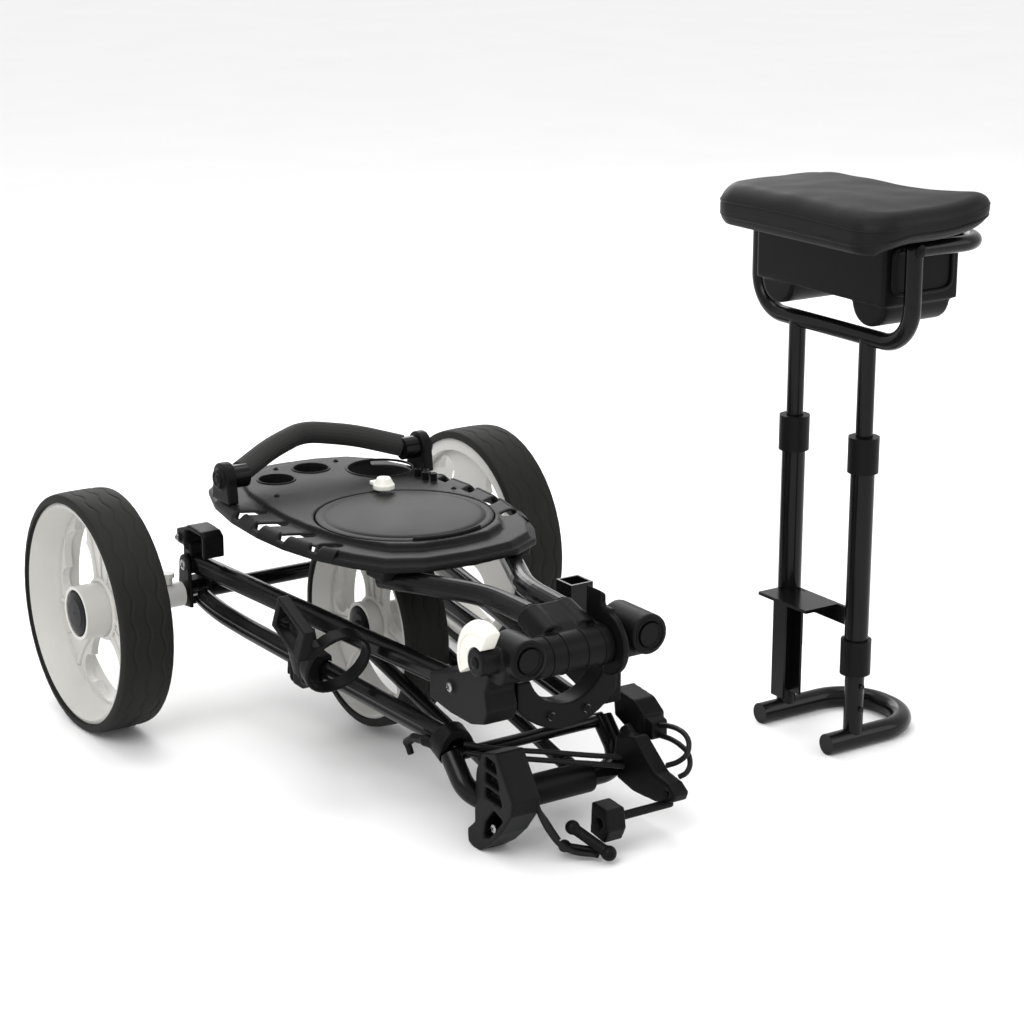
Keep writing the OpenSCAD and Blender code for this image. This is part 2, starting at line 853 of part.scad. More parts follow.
// Floor tube bent round the back, with the two lower legs welded on
module seat_base()
  color(black_paint) on_floor() seat_place() {
    translate([108, 0, foot_r]) rotate([0, 0, 90]) u_tube(post_half, 148, 58, foot_r);
    both_posts() difference() {
      translate([0, 0, foot_r + 8]) cylinder(h = 215, r = leg_r);
      translate([0, 0, 30]) cylinder(h = 220, r = leg_r - 2);
    }
    both_posts()
      for (z = [52, 80]) bar_y(0, -leg_r - 3, leg_r + 3, z, 3);
  }

module seat_outer_tubes()
  color(black_paint) on_floor() seat_place() both_posts()
    difference() {
      translate([0, 0, 100]) cylinder(h = 250, r = outer_r);
      translate([0, 0, 99]) cylinder(h = 252, r = leg_r + 0.3);
    }

module seat_collars()
  color(black_plastic) on_floor() seat_place() {
    both_posts() difference() {
      translate([0, 0, 338]) cylinder(h = 42, r = 18);
      translate([0, 0, 337]) cylinder(h = 13, r = outer_r);
      translate([0, 0, 349]) cylinder(h = 40, r = post_r + 0.3);
    }
    both_posts() difference() {
      translate([0, 0, 94]) cylinder(h = 42, r = 18);
      translate([0, 0, 99.9]) cylinder(h = 42, r = outer_r);
      translate([0, 0, 90]) cylinder(h = 42, r = leg_r + 0.3);
    }
  }

// Folded sheet between the outer tubes, and the channel that hangs on the cart
module seat_plate()
  color(black_paint) on_floor() seat_place()
    difference() {
      union() {
        translate([4, -post_half + 6, 145]) cube([4, 2 * post_half - 12, 22]);
        translate([-44, -22, 163]) cube([52, 58, 4]);
        side_plate(-42, -14, [[18, 163.2], [18, 45], [40, 45], [40, 163.2]]);
        translate([-44, 30, 163]) cube([46, 36, 4]);
      }
      side_plate(-39, -17, [[16, 160], [16, 44], [37, 44], [37, 160]]);
      both_posts() translate([0, 0, 90]) cylinder(h = 100, r = outer_r);
    }

yoke_half = 133;
yoke_low = 496;

// Upper posts, the yoke they are welded to and the loop that carries the box
module seat_yoke()
  color(black_paint) on_floor() seat_place() {
    both_posts() translate([0, 0, 240]) cylinder(h = yoke_low - 240, r = post_r);
    translate([0, 0, yoke_low])
      rotate([90, 0, 90]) u_tube(yoke_half, tilt_height - yoke_low, 44, post_r);
    translate([110, 0, tilt_height])
      rotate([0, 0, 90]) u_tube(yoke_half, 110, 40, 9);
    for (side = [-1, 1]) translate([0, side * yoke_half, tilt_height]) sphere(post_r);
  }

box_half = 112;

// Open storage tray under the cushion, hung between the yoke's bolts
module seat_box()
  color(black_plastic) on_floor() seat_place() {
    difference() {
      union() {
        translate([-24, -box_half, 540]) cube([110, 2 * box_half, 78]);
        for (side = [-1, 1])
          translate([0, side * (box_half - 32), 0])
            box_lobe();
      }
      translate([-21, -box_half + 3, 543]) cube([104, 2 * box_half - 6, 80]);
    }
    for (side = [-1, 1]) translate([0, side * 116.8, tilt_height])
      rotate([90, 0, 0]) cylinder(h = 11.6, r = 5, center = true);
  }

// Rounded belly on the underside of the box
module box_lobe() {
  translate([-18, 0, 541]) rotate([0, 90, 0]) cylinder(h = 98, r = 28);
}

// Cushion on its board: crowned across the seat
module seat_pad()
  color(black_plastic) on_floor() seat_place()
    intersection() {
      translate([-92, -170, 619]) cube([174, 292, 44]);
      translate([-92, -24, 663 - 820]) rotate([0, 90, 0]) cylinder(h = 174, r = 820, $fn = 240);
    }

lower_tubes();
rear_cross_tube();
rear_axle();
axle_bracket_left();
axle_bracket_right();
frame_clips();
cradle_tube();
cradle_arm_left();
cradle_arm_right();
band_clamp();
cord_block();
cord_toggle();
cord_hooks();
cord_cross_upper();
cord_cross_lower();
cord_drop_outer();
cord_drop_inner();
cord_loop_upper();
cord_loop_lower();
bottle_clamp();
bottle_ring();
upper_tubes();
head_left();
head_right();
bag_saddle();
hinge_bolt();
hinge_caps();
head_screws();
seat_socket();
handle_bracket();
handle_tubes();
console_tray();
grip_housings();
tee_holder();
console_lid();
lid_latch();
grip_tube();
grip_foam();
fold_latch();
fork_legs();
fork_knuckle();
front_axle();
front_tyre();
front_rim();
front_hub_caps();
left_tyre();
left_rim();
left_hub_cap();
right_tyre();
right_rim();
right_hub_cap();
release_button_left();
release_button_right();
seat_base();
seat_outer_tubes();
seat_collars();
seat_plate();
seat_yoke();
seat_box();
seat_pad();
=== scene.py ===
import json
import math
import random
import bmesh
import bpy
from mathutils import Matrix, Vector, noise


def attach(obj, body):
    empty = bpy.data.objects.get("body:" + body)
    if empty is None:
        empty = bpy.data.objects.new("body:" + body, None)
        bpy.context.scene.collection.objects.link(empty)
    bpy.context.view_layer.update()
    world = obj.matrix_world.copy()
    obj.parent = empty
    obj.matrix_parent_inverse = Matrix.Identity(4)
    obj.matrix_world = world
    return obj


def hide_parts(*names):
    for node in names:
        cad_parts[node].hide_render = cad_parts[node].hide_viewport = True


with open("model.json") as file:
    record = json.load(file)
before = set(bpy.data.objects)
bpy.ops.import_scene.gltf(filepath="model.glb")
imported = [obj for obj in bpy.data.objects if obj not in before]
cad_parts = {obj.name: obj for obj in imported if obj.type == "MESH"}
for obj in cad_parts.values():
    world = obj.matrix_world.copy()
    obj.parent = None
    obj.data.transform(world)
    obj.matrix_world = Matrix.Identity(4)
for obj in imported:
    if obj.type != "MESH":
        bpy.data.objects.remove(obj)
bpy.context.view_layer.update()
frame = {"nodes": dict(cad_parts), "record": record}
random.seed(7)

# Middle of the footprint from the rear axle's middle, in mm
MIDDLE = (123.25, -265.5)
# Edges sharper than this many degrees stay sharp
SHARP_ANGLE = 38


def at(x, y, z):
    """A point about the rear axle, in mm, as a point of the row frame in metres."""
    return Vector(((x - MIDDLE[0]) / 1000, (y - MIDDLE[1]) / 1000, z / 1000))


BODY = {}
for body_name, members in frame["record"]["behaviour"]["bodies"].items():
    for member in members:
        BODY[member] = body_name

# ---------------------------------------------------------------- materials


def link(tree, a, b):
    tree.links.new(a, b)


def material(name, base, rough, second=None, metal=0.0, mottle=9.0, grain=1400.0,
             grain_depth=0.00006, bumps=40.0, bump_depth=0.0, rough_span=0.08, gloss=0.2):
    """Principled surface whose colour, roughness and relief all vary over the piece."""
    mat = bpy.data.materials.new(name)
    mat.use_nodes = True
    tree = mat.node_tree
    shader = tree.nodes["Principled BSDF"]
    shader.inputs["Metallic"].default_value = metal
    shader.inputs["Specular IOR Level"].default_value = gloss
    where = tree.nodes.new("ShaderNodeTexCoord")
    patch = tree.nodes.new("ShaderNodeTexNoise")
    patch.inputs["Scale"].default_value = mottle
    patch.inputs["Detail"].default_value = 6.0
    link(tree, where.outputs["Object"], patch.inputs["Vector"])
    ramp = tree.nodes.new("ShaderNodeValToRGB")
    ramp.color_ramp.elements[0].position = 0.3
    ramp.color_ramp.elements[1].position = 0.72
    ramp.color_ramp.elements[0].color = (*base, 1)
    ramp.color_ramp.elements[1].color = (*(second or [c * 1.35 for c in base]), 1)
    link(tree, patch.outputs["Fac"], ramp.inputs["Fac"])
    link(tree, ramp.outputs["Color"], shader.inputs["Base Color"])
    spread = tree.nodes.new("ShaderNodeMapRange")
    spread.inputs["To Min"].default_value = rough - rough_span
    spread.inputs["To Max"].default_value = rough + rough_span
    link(tree, patch.outputs["Fac"], spread.inputs["Value"])
    link(tree, spread.outputs["Result"], shader.inputs["Roughness"])
    fine = tree.nodes.new("ShaderNodeTexNoise")
    fine.inputs["Scale"].default_value = grain
    fine.inputs["Detail"].default_value = 2.0
    link(tree, where.outputs["Object"], fine.inputs["Vector"])
    relief = tree.nodes.new("ShaderNodeBump")
    relief.inputs["Strength"].default_value = 0.5
    relief.inputs["Distance"].default_value = grain_depth
    link(tree, fine.outputs["Fac"], relief.inputs["Height"])
    last = relief
    if bump_depth:
        broad = tree.nodes.new("ShaderNodeTexNoise")
        broad.inputs["Scale"].default_value = bumps
        broad.inputs["Detail"].default_value = 3.0
        link(tree, where.outputs["Object"], broad.inputs["Vector"])
        swell = tree.nodes.new("ShaderNodeBump")
        swell.inputs["Strength"].default_value = 0.6
        swell.inputs["Distance"].default_value = bump_depth
        link(tree, broad.outputs["Fac"], swell.inputs["Height"])
        link(tree, relief.outputs["Normal"], swell.inputs["Normal"])
        last = swell
    link(tree, last.outputs["Normal"], shader.inputs["Normal"])
    return mat


MATS = {
    "paint": material("satin black tube", (0.0028, 0.0028, 0.003), 0.21, gloss=0.17,
                      grain_depth=0.00002, rough_span=0.05),
    "plastic": material("moulded black", (0.0035, 0.0035, 0.0037), 0.4, grain_depth=0.00008,
                        gloss=0.09),
    "console": material("moulded charcoal", (0.0055, 0.0055, 0.0056), 0.46, grain_depth=0.0001,
                        gloss=0.1),
    "white": material("moulded white", (0.5, 0.495, 0.468), 0.4, (0.56, 0.555, 0.528), gloss=0.35),
    "ivory": material("moulded ivory", (0.7, 0.69, 0.63), 0.32, (0.76, 0.75, 0.69), gloss=0.5),
    "tread": material("foam tyre", (0.0085, 0.0085, 0.0078), 0.66, (0.014, 0.014, 0.013),
                      grain=900.0, grain_depth=0.00015, bumps=70.0, bump_depth=0.0002,
                      gloss=0.14),
    "steel": material("plated steel", (0.3, 0.3, 0.31), 0.28, metal=1.0, grain_depth=0.00001),
    "foam": material("grip foam", (0.017, 0.017, 0.0165), 0.7, grain=700.0,
                     grain_depth=0.00016),
    "vinyl": material("matte vinyl", (0.0055, 0.0055, 0.0054), 0.47, grain=1100.0,
                      grain_depth=0.00012, bumps=16.0, bump_depth=0.0012, gloss=0.12),
    "elastic": material("woven sheath", (0.004, 0.004, 0.0045), 0.5, grain=1800.0,
                        grain_depth=0.0003),
    # Near-black used only as painted shade for the screw recesses
    "shadow": material("painted recess shade", (0.003, 0.003, 0.003), 0.7),
}

SLOT_OF = {s["node"]: s["material_slot"] for s in frame["record"]["subparts"]}

# ---------------------------------------------------------------- helpers


def smooth(mesh, angle):
    mesh.shade_smooth()
    mesh.set_sharp_from_angle(angle=math.radians(angle))


def dress(obj, slot):
    obj.data.materials.clear()
    obj.data.materials.append(MATS[slot])


def add(name, mesh, slot, body, angle=SHARP_ANGLE):
    obj = bpy.data.objects.new(name, mesh)
    bpy.context.scene.collection.objects.link(obj)
    dress(obj, slot)
    if isinstance(mesh, bpy.types.Mesh):
        smooth(mesh, angle)
    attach(obj, body)
    return obj


def mesh_from(name, verts, faces):
    mesh = bpy.data.meshes.new(name)
    mesh.from_pydata([tuple(v) for v in verts], [], faces)
    mesh.validate()
    mesh.update()
    return mesh


def tube(name, points, radius, slot, body, closed=False, sides=4):
    """Round bar along a smooth line through the points."""
    curve = bpy.data.curves.new(name, "CURVE")
    curve.dimensions = "3D"
    curve.bevel_depth = radius
    curve.bevel_resolution = sides
    curve.use_fill_caps = True
    line = curve.splines.new("POLY")
    line.points.add(len(points) - 1)
    for spot, p in zip(line.points, points):
        spot.co = (*p, 1)
    line.use_cyclic_u = closed
    line.use_smooth = True
    return add(name, curve, slot, body)


def flowing(points, steps=8):
    """Points of a smooth line through the given points."""
    out = []
    n = len(points)
    for i in range(n - 1):
        p0, p1 = points[max(i - 1, 0)], points[i]
        p2, p3 = points[i + 1], points[min(i + 2, n - 1)]
        for k in range(steps):
            t = k / steps
            out.append(0.5 * (2 * p1 + (p2 - p0) * t + (2 * p0 - 5 * p1 + 4 * p2 - p3) * t * t
                              + (3 * p1 - p0 - 3 * p2 + p3) * t ** 3))
    out.append(points[-1])
    return out


def lathe(name, centre, axis, profile, slot, body, segments=48):
    """Turned piece: profile is (distance along the axis, radius) pairs, in mm."""
    axis = Vector(axis).normalized()
    side = axis.orthogonal().normalized()
    other = axis.cross(side)
    verts, faces = [], []
    n = len(profile)
    for s in range(segments):
        a = 2 * math.pi * s / segments
        out = side * math.cos(a) + other * math.sin(a)
        verts += [centre + axis * (h / 1000) + out * (r / 1000) for h, r in profile]
    for s in range(segments):
        t = (s + 1) % segments
        for i in range(n - 1):
            faces.append((s * n + i, s * n + i + 1, t * n + i + 1, t * n + i))
    return add(name, mesh_from(name, verts, faces), slot, body)


def screw(name, centre, axis, r, body, slot="steel"):
    """Domed screw head; its crosswise recess is two near-black bars of painted shade standing on
    the dome.
    """
    axis = Vector(axis).normalized()
    head = lathe(name, centre, axis, [(-1.5, r), (0.4, r), (1.1, r * 0.8), (1.5, r * 0.4),
                                      (1.6, 0.01)], slot, body, 28)
    side = axis.orthogonal().normalized()
    # Painted shade: two thin near-black bars across the dome stand in for the dark inside of the
    # cross recess
    for k, d in enumerate((side, axis.cross(side))):
        a = centre + axis * 0.0015
        tube(name + "_cut_%d" % k, [a - d * r * 0.0005, a + d * r * 0.0005], 0.0006, "shadow",
             body, sides=2)
    return head


def moulded(node, voxel, passes):
    """A softened copy of a moulded CAD piece, with rounded edges."""
    source = frame["nodes"][node]
    obj = source.copy()
    obj.data = source.data.copy()
    obj.name = node + "_moulded"
    obj.parent = None
    obj.matrix_world = Matrix.Identity(4)
    for m in list(obj.modifiers):
        obj.modifiers.remove(m)
    bpy.context.scene.collection.objects.link(obj)
    remesh = obj.modifiers.new("skin", "REMESH")
    remesh.mode = "VOXEL"
    remesh.voxel_size = voxel
    remesh.use_smooth_shade = True
    soften = obj.modifiers.new("soften", "SMOOTH")
    soften.factor = 0.6
    soften.iterations = passes
    dress(obj, SLOT_OF[node])
    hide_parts(node)
    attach(obj, BODY[node])


def edged(node, width):
    """A CAD piece kept as it is, with its sharp edges broken."""
    obj = frame["nodes"][node]
    dress(obj, SLOT_OF[node])
    smooth(obj.data, SHARP_ANGLE)
    if width:
        edge = obj.modifiers.new("edge", "BEVEL")
        edge.width = width / 1000
        edge.segments = 2
        edge.limit_method = "ANGLE"
        edge.angle_limit = math.radians(40)
        edge.harden_normals = True
        edge.use_clamp_overlap = True


# ---------------------------------------------------------------- CAD pieces

SOFT = {
    "console_tray": (0.0017, 6), "bag_saddle": (0.0013, 9), "head_left": (0.0013, 16),
    "head_right": (0.0013, 10), "handle_bracket": (0.0012, 9), "cradle_arm_left": (0.0012, 9),
    "cradle_arm_right": (0.0012, 14), "band_clamp": (0.0011, 7), "cord_block": (0.0011, 14),
    "cord_toggle": (0.001, 16), "cord_hooks": (0.0009, 5), "bottle_clamp": (0.0011, 8),
    "bottle_ring": (0.0011, 5), "frame_clips": (0.0012, 8), "axle_bracket_left": (0.0011, 7),
    "axle_bracket_right": (0.0011, 7), "grip_housings": (0.0012, 12), "fold_latch": (0.001, 7),
    "fork_knuckle": (0.0012, 7), "lid_latch": (0.0009, 8), "seat_box": (0.0018, 6),
}
for soft_node, (voxel, passes) in SOFT.items():
    moulded(soft_node, voxel, passes)

EDGED = {
    "lower_tubes": 0, "upper_tubes": 0.6, "rear_cross_tube": 0, "rear_axle": 0.5,
    "cradle_tube": 0, "hinge_bolt": 0.5, "hinge_caps": 1.0, "head_screws": 0.8,
    "seat_socket": 0.5, "handle_tubes": 0, "tee_holder": 0.4, "grip_tube": 1.0,
    "grip_foam": 0, "fork_legs": 0, "front_axle": 0.5, "front_rim": 1.4, "left_rim": 1.6,
    "right_rim": 1.6, "front_hub_caps": 0.8, "left_hub_cap": 0.8, "right_hub_cap": 0.8,
    "release_button_left": 0.8, "release_button_right": 0.8, "seat_base": 0.8,
    "seat_outer_tubes": 0.5, "seat_collars": 1.4, "seat_plate": 0.6, "seat_yoke": 0,
}
for hard_node, width in EDGED.items():
    edged(hard_node, width)

# ---------------------------------------------------------------- wheels


def tread_tyre(name, node, centre, outer, inner, half, waves):
    """Tyre with a rounded tread crossed by wavy grooves."""
    across = 72
    around = 432
    verts, faces = [], []
    profile = []
    for i in range(across + 1):
        t = -1 + 2 * i / across
        x = half * math.copysign(1 - (1 - abs(t)) ** 1.6, t) if abs(t) < 1 else half * t
        x = max(-half, min(half, x))
        drop = 3.2 * abs(t) ** 3 + 5.0 * max(0.0, abs(t) - 0.82) / 0.18
        profile.append((x, outer - drop, t))
    wall = [(half, outer - 10.5, 2), (half - 0.4, inner + 3, 2), (half - 3, inner, 2),
            (-half + 3, inner, 2), (-half + 0.4, inner + 3, 2), (-half, outer - 10.5, 2)]
    ring = profile + wall
    n = len(ring)
    for s in range(around):
        a = 2 * math.pi * s / around
        for x, r, t in ring:
            cut = 0.0
            if t < 2:
                sway = 2.4 * math.sin(waves * a)
                for line in (-0.55, 0.0, 0.55):
                    gap = x - line * half - sway * (1 if line > 0 else -1)
                    cut += 1.2 * math.exp(-(gap / 1.2) ** 2)
                if abs(t) > 0.72:
                    cut += 0.5 * max(0.0, math.sin(waves * 2 * a)) * (abs(t) - 0.72) / 0.28
            r -= cut
            verts.append(centre + Vector((x, r * math.cos(a), r * math.sin(a))) / 1000)
    for s in range(around):
        t = (s + 1) % around
        for i in range(n):
            j = (i + 1) % n
            faces.append((s * n + i, s * n + j, t * n + j, t * n + i))
    obj = add(name, mesh_from(name, verts, faces), "tread", BODY[node], 60)
    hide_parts(node)
    return obj


REAR_X = 273
REAR_Z = 145
FRONT = at(0, -193, 133)
tread_tyre("left_tread", "left_tyre", at(-REAR_X, 0, REAR_Z), 145, 134, 33, 22)
tread_tyre("right_tread", "right_tyre", at(REAR_X, 0, REAR_Z), 145, 134, 33, 22)
tread_tyre("front_tread", "front_tyre", FRONT, 123.6, 112.8, 28, 19)


def spoke_ribs(name, centre, sign, face, hub, edge, body):
    """Pairs of ribs that flare from the hub to the rim along each spoke."""
    for k in range(3):
        mid = math.radians(90 + 120 * k)
        for side in (-1, 1):
            points = []
            for i in range(13):
                t = i / 12
                r = hub + (edge - hub) * t
                a = mid + side * math.radians(21 - 8 * t + 7 * t ** 3)
                lift = face + 0.4
                points.append(centre + Vector((-sign * lift, r * math.cos(a),
                                               r * math.sin(a))) / 1000)
            tube("%s_rib_%d_%d" % (name, k, side + 1), points, 0.0034, "white", body)
        flat = []
        for i in range(11):
            t = i / 10
            r = hub + 4 + (edge - hub - 6) * t
            flat.append(centre + Vector((-sign * (face - 0.6), r * math.cos(mid),
                                         r * math.sin(mid))) / 1000)
        tube("%s_ridge_%d" % (name, k), flat, 0.0014, "white", body)
    ring = []
    for i in range(72):
        a = 2 * math.pi * i / 72
        ring.append(centre + Vector((-sign * (face - 0.6), (hub + 2) * math.cos(a),
                                     (hub + 2) * math.sin(a))) / 1000)
    tube(name + "_hub_ring", ring, 0.0032, "white", body, closed=True)


spoke_ribs("left", at(-REAR_X, 0, REAR_Z), -1, 7.6, 33, 120, "left_wheel")
spoke_ribs("right", at(REAR_X, 0, REAR_Z), 1, 7.6, 33, 120, "right_wheel")
spoke_ribs("front", FRONT, -1, -2.4, 28, 99, "front_wheel")

# ---------------------------------------------------------------- cords

CORD_RADIUS = 0.003
CORDS = {
    "cord_cross_upper": [(-86, -523, 104), (-60, -541, 99), (-34, -553, 95), (-8, -560, 90),
                         (20, -567, 84), (48, -574, 78), (80, -583, 72)],
    "cord_cross_lower": [(-86, -523, 94), (-60, -545, 90), (-34, -558, 87), (-8, -566, 82),
                         (20, -573, 76), (48, -579, 70), (80, -588, 63)],
    "cord_drop_outer": [(-58, -588, 112), (-58, -600, 98), (-58, -611, 80), (-57, -620, 62),
                        (-54, -628, 45), (-48, -635, 30), (-40, -641, 18), (-28, -650, 10),
                        (-14, -660, 8), (-11, -668, 9)],
    "cord_drop_inner": [(-58, -581, 102), (-57, -590, 84), (-55, -600, 67), (-50, -610, 52),
                        (-44, -619, 39), (-39, -626, 27), (-36, -632, 19)],
    "cord_loop_upper": [(127, -591, 102), (127, -606, 106), (125, -624, 109), (122, -642, 109),
                        (117, -656, 104), (111, -660, 94), (106, -652, 84), (100, -640, 77)],
    "cord_loop_lower": [(127, -591, 90), (127, -610, 92), (125, -630, 92), (122, -648, 89),
                        (116, -660, 82), (110, -662, 74), (105, -656, 68)],
}
for cord_node, route in CORDS.items():
    line = flowing([at(*p) for p in route])
    piece = tube(cord_node + "_sheath", line, CORD_RADIUS, "elastic", "chassis", sides=6)
    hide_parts(cord_node)

# ---------------------------------------------------------------- console


LID_Y = -262


def console_lid():
    """Crowned round lid with a shallow step round its rim."""
    radii = [103.6, 103.6, 102.6, 100.5, 97, 94.5, 93.5, 92, 86, 74, 58, 40, 22, 8, 0.01]
    levels = [275.6, 281.6, 283.0, 283.6, 283.7, 283.3, 283.6, 284.5, 285.1, 285.8, 286.3,
              286.5, 286.6, 286.7, 286.7]
    top = list(zip(levels, radii))
    piece = lathe("lid_shell", at(0, LID_Y, 0), (0, 0, 1), [(275.6, 0.01)] + top, "console",
                  "lid", 120)
    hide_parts("console_lid")


console_lid()
flap = []
for i in range(15):
    a = math.radians(-116 + 52 * i / 14)
    flap.append(at(101 * math.cos(a), LID_Y + 101 * math.sin(a), 284.6))
tube("lid_flap", flap, 0.0022, "console", "lid")
for k, spot in enumerate(((-86, -112), (-30, -6), (50, -14), (106, -200))):
    screw("console_screw_%d" % k, at(spot[0], spot[1], 283.7), (0, 0, 1), 3.4,
          "handle", "plastic")
for k, (hx, hy, hr) in enumerate(((80, -72, 40), (-52, -48, 21.5), (8, -26, 21.5))):
    rim_line = [at(hx + (hr + 1.2) * math.cos(2 * math.pi * i / 64),
                   hy + (hr + 1.2) * math.sin(2 * math.pi * i / 64), 283.2) for i in range(64)]
    tube("hole_lip_%d" % k, rim_line, 0.0016, "console", "handle", closed=True)


def console_edge(sign, rear):
    """Rolled outer edge of the tray: high between the slots, low where each slot runs out."""
    path = ((138, -50), (151, -120), (155, -190), (152, -246), (141, -302), (122, -350))
    high = ((-0.2, 262.3), (-0.2, 268.4), (1.0, 270.4), (4.5, 273.8), (8.0, 276.4),
            (11.5, 276.9), (11.5, 273.5), (7.5, 262.3))
    low = ((-0.2, 262.3), (-0.2, 268.0), (0.8, 269.4), (2.6, 270.0), (4.6, 270.0),
           (6.0, 269.4), (6.8, 267.0), (6.8, 262.3))

    def edge_x(y):
        for (xa, ya), (xb, yb) in zip(path, path[1:]):
            if yb <= y <= ya:
                return xa + (xb - xa) * (y - ya) / (yb - ya)
        return path[0][0] if y > path[0][1] else path[-1][0]

    rings = []
    count = int((rear + 326) / 1.5)
    for i in range(count + 1):
        y = rear - 1.5 * i
        along = Vector((edge_x(y - 6) - edge_x(y + 6), -12)).normalized()
        open_by = min(abs(y - slot_y) for slot_y in (-128, -181.5, -237, -294))
        share = max(0.0, min(1.0, (open_by - 6.5) / 3.5))
        share = share * share * (3 - 2 * share)
        ring = []
        for (da, za), (db, zb) in zip(low, high):
            d, z = da + (db - da) * share, za + (zb - za) * share
            ring.append(at(sign * (edge_x(y) + along.y * d), y - along.x * d, z))
        rings.append(ring)
    size = len(high)
    faces = [(r * size + k, r * size + (k + 1) % size, (r + 1) * size + (k + 1) % size,
              (r + 1) * size + k) for r in range(len(rings) - 1) for k in range(size)]
    faces += [tuple(range(size))[::-1],
              tuple((len(rings) - 1) * size + k for k in range(size))]
    mesh = mesh_from("console_edge_%d" % (sign + 1), [v for ring in rings for v in ring], faces)
    made = bmesh.new()
    made.from_mesh(mesh)
    bmesh.ops.recalc_face_normals(made, faces=made.faces)
    made.to_mesh(mesh)
    made.free()
    add("console_edge_%d" % (sign + 1), mesh, "console", "handle", 50)


console_edge(-1, -54)
console_edge(1, -112)

# Plugs on the ends of the grip's pivots
for sign in (-1, 1):
    lathe("grip_plug_%d" % (sign + 1), at(sign * 146, -76, 305), (sign, 0, 0),
          [(-1, 11), (0.6, 11), (1.2, 8.5), (0.5, 7.6), (0.5, 5), (1.2, 4.4), (1.3, 0.01)],
          "plastic", "handle", 40)

# ---------------------------------------------------------------- folding head
HINGE_Y = -605
BOSS_X = 77
BOSS_Z = 230
for k, x in enumerate((-38, -20, 6, 28)):
    ring = [at(x, HINGE_Y + 22.3 * math.cos(2 * math.pi * i / 56),
               218 + 22.3 * math.sin(2 * math.pi * i / 56)) for i in range(56)]
    tube("drum_line_%d" % k, ring, 0.0007, "plastic", "handle", closed=True, sides=2)
for sign in (-1, 1):
    for k, (r, h) in enumerate(((17.5, -637.2), (12.6, -637.6))):
        ring = [at(sign * BOSS_X + r * math.cos(2 * math.pi * i / 56), h,
                   BOSS_Z + r * math.sin(2 * math.pi * i / 56)) for i in range(56)]
        tube("boss_ring_%d_%d" % (sign + 1, k), ring, 0.0009, "plastic", "upper_frame",
             closed=True, sides=2)
    screw("saddle_screw_%d" % (sign + 1), at(sign * 23, -599.2, 146), (0, -1, 0), 4.2,
          "upper_frame", "plastic")
step = []
for i in range(25):
    a = math.radians(58 + 152 * (0.06 + 0.88 * i / 24))
    step.append(at(-123.4, HINGE_Y + 31 * math.sin(a), 228 - 31 * math.cos(a)))
tube("lock_step", step, 0.0007, "ivory", "fold_lock", sides=2)
screw("lock_bolt", at(-124.6, HINGE_Y, 228), (-1, 0, 0), 6.5, "upper_frame", "plastic")

# Bolts that show on the brackets, clips and cradle
BOLTS = [
    ("bracket_bolt_left", (-157.6, 0, 181), (-1, 0, 0), 6.5, "chassis"),
    ("bracket_bolt_right", (157.6, 0, 181), (1, 0, 0), 6.5, "chassis"),
    ("clip_bolt_left", (-158.4, 12, 213), (-1, 0, 0), 4.2, "upper_frame"),
    ("clip_bolt_right", (158.4, 12, 213), (1, 0, 0), 4.2, "upper_frame"),
    ("housing_bolt", (-106.4, -527, 174), (-1, 0, 0), 5.2, "upper_frame"),
    ("arm_bolt_left", (-98.6, -601, 36), (-1, 0, 0), 4.6, "chassis"),
    ("cradle_bolt", (-104.6, -512, 93), (-1, 0, 0), 4.4, "chassis"),
]
for bolt_name, spot, axis, r, body in BOLTS:
    screw(bolt_name, at(*spot), axis, r, body)
for sign, body in ((-1, "left_wheel"), (1, "right_wheel")):
    lathe(body + "_cap_ring", at(sign * 284.8, 0, REAR_Z), (sign, 0, 0),
          [(0, 24), (1.2, 23.4), (1.6, 21.5), (0.9, 20), (0.9, 6), (1.8, 5), (2.0, 0.01)],
          "plastic", body, 48)

# ---------------------------------------------------------------- seat
SEAT = (432, -500)
POST_Y = 62
TILT_Z = 606


def seat_at(x, y, z):
    return at(SEAT[0] + x, SEAT[1] + y, z)


def crown(y):
    return 662 - (y + 24) ** 2 / 3600


